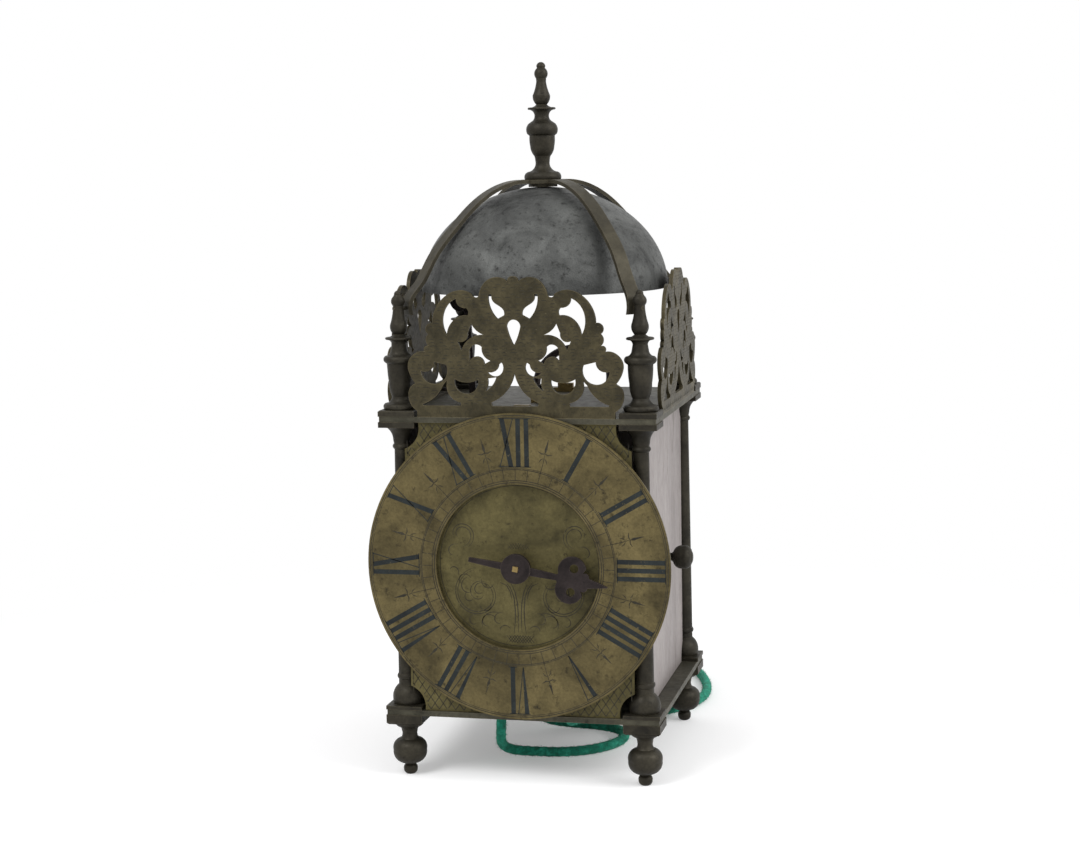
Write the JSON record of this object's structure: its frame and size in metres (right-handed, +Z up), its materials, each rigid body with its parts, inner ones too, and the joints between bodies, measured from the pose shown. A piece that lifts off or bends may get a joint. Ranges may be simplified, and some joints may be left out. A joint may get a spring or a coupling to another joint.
{
  "type": "lantern clock",
  "caption": "Brass lantern clock: square case on turned posts, round dial with one hand, pierced scroll frets, a bell under crossed straps and a rope drive.",
  "frame": {"origin": "on the floor under the middle of the case, level with the soles of the feet", "axes": "+Z up, +X to the right seen from the front, +Y to the back, so the dial faces -Y"},
  "size_m": [0.165, 0.2843, 0.386],
  "materials": {
    "turned_brass": "dark olive-brown patina on turned brass",
    "plate_brass": "dull worn sheet brass",
    "dial_plate_brass": "aged engraved sheet brass",
    "door_brass": "pale brushed sheet brass",
    "dial_brass": "aged golden-olive brass with dark mottling",
    "fret_brass": "aged cast brass, engraved",
    "bell_metal": "dark pitted bell metal",
    "strap_brass": "dark olive brass",
    "movement_brass": "dull worked brass",
    "dark_steel": "dark blued steel",
    "rope": "fuzzy green twisted cotton"
  },
  "bodies": {
    "frame": {"feet": "turned_brass", "post_front_left": "turned_brass", "post_front_right": "turned_brass", "post_rear_left": "turned_brass", "post_rear_right": "turned_brass", "finial_front_left": "turned_brass", "finial_front_right": "turned_brass", "finial_rear_left": "turned_brass", "finial_rear_right": "turned_brass", "bell_finial": "turned_brass", "bottom_plate": "plate_brass", "top_plate": "plate_brass", "dial_plate": "dial_plate_brass", "back_plate": "door_brass", "chapter_ring": "dial_brass", "front_fret": "fret_brass", "left_fret": "fret_brass", "right_fret": "fret_brass", "bell": "bell_metal", "bell_straps": "strap_brass", "bell_washer": "strap_brass", "bell_nut": "strap_brass", "front_bar": "movement_brass", "centre_bar": "movement_brass", "rear_bar": "movement_brass", "bar_wedges": "movement_brass", "ring_pins": "movement_brass", "back_cock": "movement_brass", "hammer_spring": "dark_steel", "hanging_hoop": "dark_steel", "wall_spurs": "dark_steel", "fret_screws": "dark_steel", "rope_held": "rope", "rope_front": "rope", "rope_rear": "rope", "rope_coil": "rope", "rope_return": "rope"},
    "going_great": {"going_great_wheel": "movement_brass"},
    "going_pulley": {"going_pulley": "movement_brass"},
    "going_click": {"going_click": "dark_steel"},
    "second": {"second_wheel": "movement_brass"},
    "escape": {"escape_wheel": "movement_brass"},
    "hour": {"hour_wheel": "movement_brass", "hour_hand": "dark_steel"},
    "anchor": {"pallet_anchor": "dark_steel"},
    "strike_great": {"strike_great_wheel": "movement_brass"},
    "strike_pulley": {"strike_pulley": "movement_brass"},
    "strike_click": {"strike_click": "dark_steel"},
    "hoop": {"hoop_wheel": "movement_brass"},
    "warning": {"warning_wheel": "movement_brass"},
    "fly": {"fly": "movement_brass"},
    "count": {"count_wheel": "movement_brass"},
    "hammer": {"hammer": "dark_steel"},
    "lifting_lever": {"lifting_lever": "dark_steel"},
    "locking_detent": {"locking_detent": "dark_steel"},
    "left_door": {"left_door": "door_brass", "left_door_knob": "turned_brass"},
    "right_door": {"right_door": "door_brass", "right_door_knob": "turned_brass"}
  },
  "joints": [
    {"name": "going_spin", "type": "hinge", "parent": "frame", "child": "going_great", "pos_m": [0, 0, 0.0799], "axis": [0, 1, 0], "continuous": true},
    {"name": "going_pulley_spin", "type": "hinge", "parent": "going_great", "child": "going_pulley", "pos_m": [0, 0, 0.0799], "axis": [0, 1, 0], "continuous": true},
    {"name": "going_click_lift", "type": "hinge", "parent": "going_great", "child": "going_click", "pos_m": [0.022, 0, 0.0799], "axis": [0, 1, 0], "range_deg": [0, 12], "stiffness_Nm_per_rad": 0.002, "springref_deg": -5.73},
    {"name": "second_spin", "type": "hinge", "parent": "frame", "child": "second", "pos_m": [0, 0, 0.1129], "axis": [0, 1, 0], "continuous": true},
    {"name": "escape_spin", "type": "hinge", "parent": "frame", "child": "escape", "pos_m": [0, 0, 0.1395], "axis": [0, 1, 0], "continuous": true},
    {"name": "hour_spin", "type": "hinge", "parent": "frame", "child": "hour", "pos_m": [0, 0, 0.1189], "axis": [0, 1, 0], "continuous": true},
    {"name": "anchor_rock", "type": "hinge", "parent": "frame", "child": "anchor", "pos_m": [0, 0, 0.17203], "axis": [0, 1, 0], "range_deg": [-2, 2]},
    {"name": "strike_spin", "type": "hinge", "parent": "frame", "child": "strike_great", "pos_m": [0, 0, 0.0799], "axis": [0, 1, 0], "continuous": true},
    {"name": "strike_pulley_spin", "type": "hinge", "parent": "strike_great", "child": "strike_pulley", "pos_m": [0, 0, 0.0799], "axis": [0, 1, 0], "continuous": true},
    {"name": "strike_click_lift", "type": "hinge", "parent": "strike_great", "child": "strike_click", "pos_m": [0.022, 0, 0.0799], "axis": [0, 1, 0], "range_deg": [0, 12], "stiffness_Nm_per_rad": 0.002, "springref_deg": -5.73},
    {"name": "hoop_spin", "type": "hinge", "parent": "frame", "child": "hoop", "pos_m": [0, 0, 0.11455], "axis": [0, 1, 0], "continuous": true},
    {"name": "warning_spin", "type": "hinge", "parent": "frame", "child": "warning", "pos_m": [0, 0, 0.13555], "axis": [0, 1, 0], "continuous": true},
    {"name": "fly_spin", "type": "hinge", "parent": "frame", "child": "fly", "pos_m": [0, 0, 0.15445], "axis": [0, 1, 0], "continuous": true},
    {"name": "count_spin", "type": "hinge", "parent": "frame", "child": "count", "pos_m": [0, 0, 0.1014], "axis": [0, 1, 0], "continuous": true},
    {"name": "hammer_swing", "type": "hinge", "parent": "frame", "child": "hammer", "pos_m": [-0.04, 0, 0.1], "axis": [0, 1, 0], "range_deg": [0, 7], "stiffness_Nm_per_rad": 0.3, "springref_deg": -4.98},
    {"name": "lever_lift", "type": "hinge", "parent": "frame", "child": "lifting_lever", "pos_m": [-0.033, 0, 0.128], "axis": [0, 1, 0], "range_deg": [-8, 0]},
    {"name": "detent_lift", "type": "hinge", "parent": "frame", "child": "locking_detent", "pos_m": [0.036, 0, 0.14], "axis": [0, 1, 0], "range_deg": [0, 8]},
    {"name": "left_door_swing", "type": "hinge", "parent": "frame", "child": "left_door", "pos_m": [-0.06525, -0.0525, 0], "axis": [0, 0, 1], "range_deg": [0, 100]},
    {"name": "right_door_swing", "type": "hinge", "parent": "frame", "child": "right_door", "pos_m": [0.06525, -0.0525, 0], "axis": [0, 0, 1], "range_deg": [-100, 0]}
  ],
  "couplings": [
    {"joint": "second_spin", "follows": "going_spin", "ratio": -10},
    {"joint": "escape_spin", "follows": "going_spin", "ratio": 60},
    {"joint": "hour_spin", "follows": "going_spin", "ratio": -0.083333},
    {"joint": "hoop_spin", "follows": "strike_spin", "ratio": -8},
    {"joint": "warning_spin", "follows": "strike_spin", "ratio": 72},
    {"joint": "fly_spin", "follows": "strike_spin", "ratio": -576},
    {"joint": "count_spin", "follows": "strike_spin", "ratio": -0.10256}
  ]
}
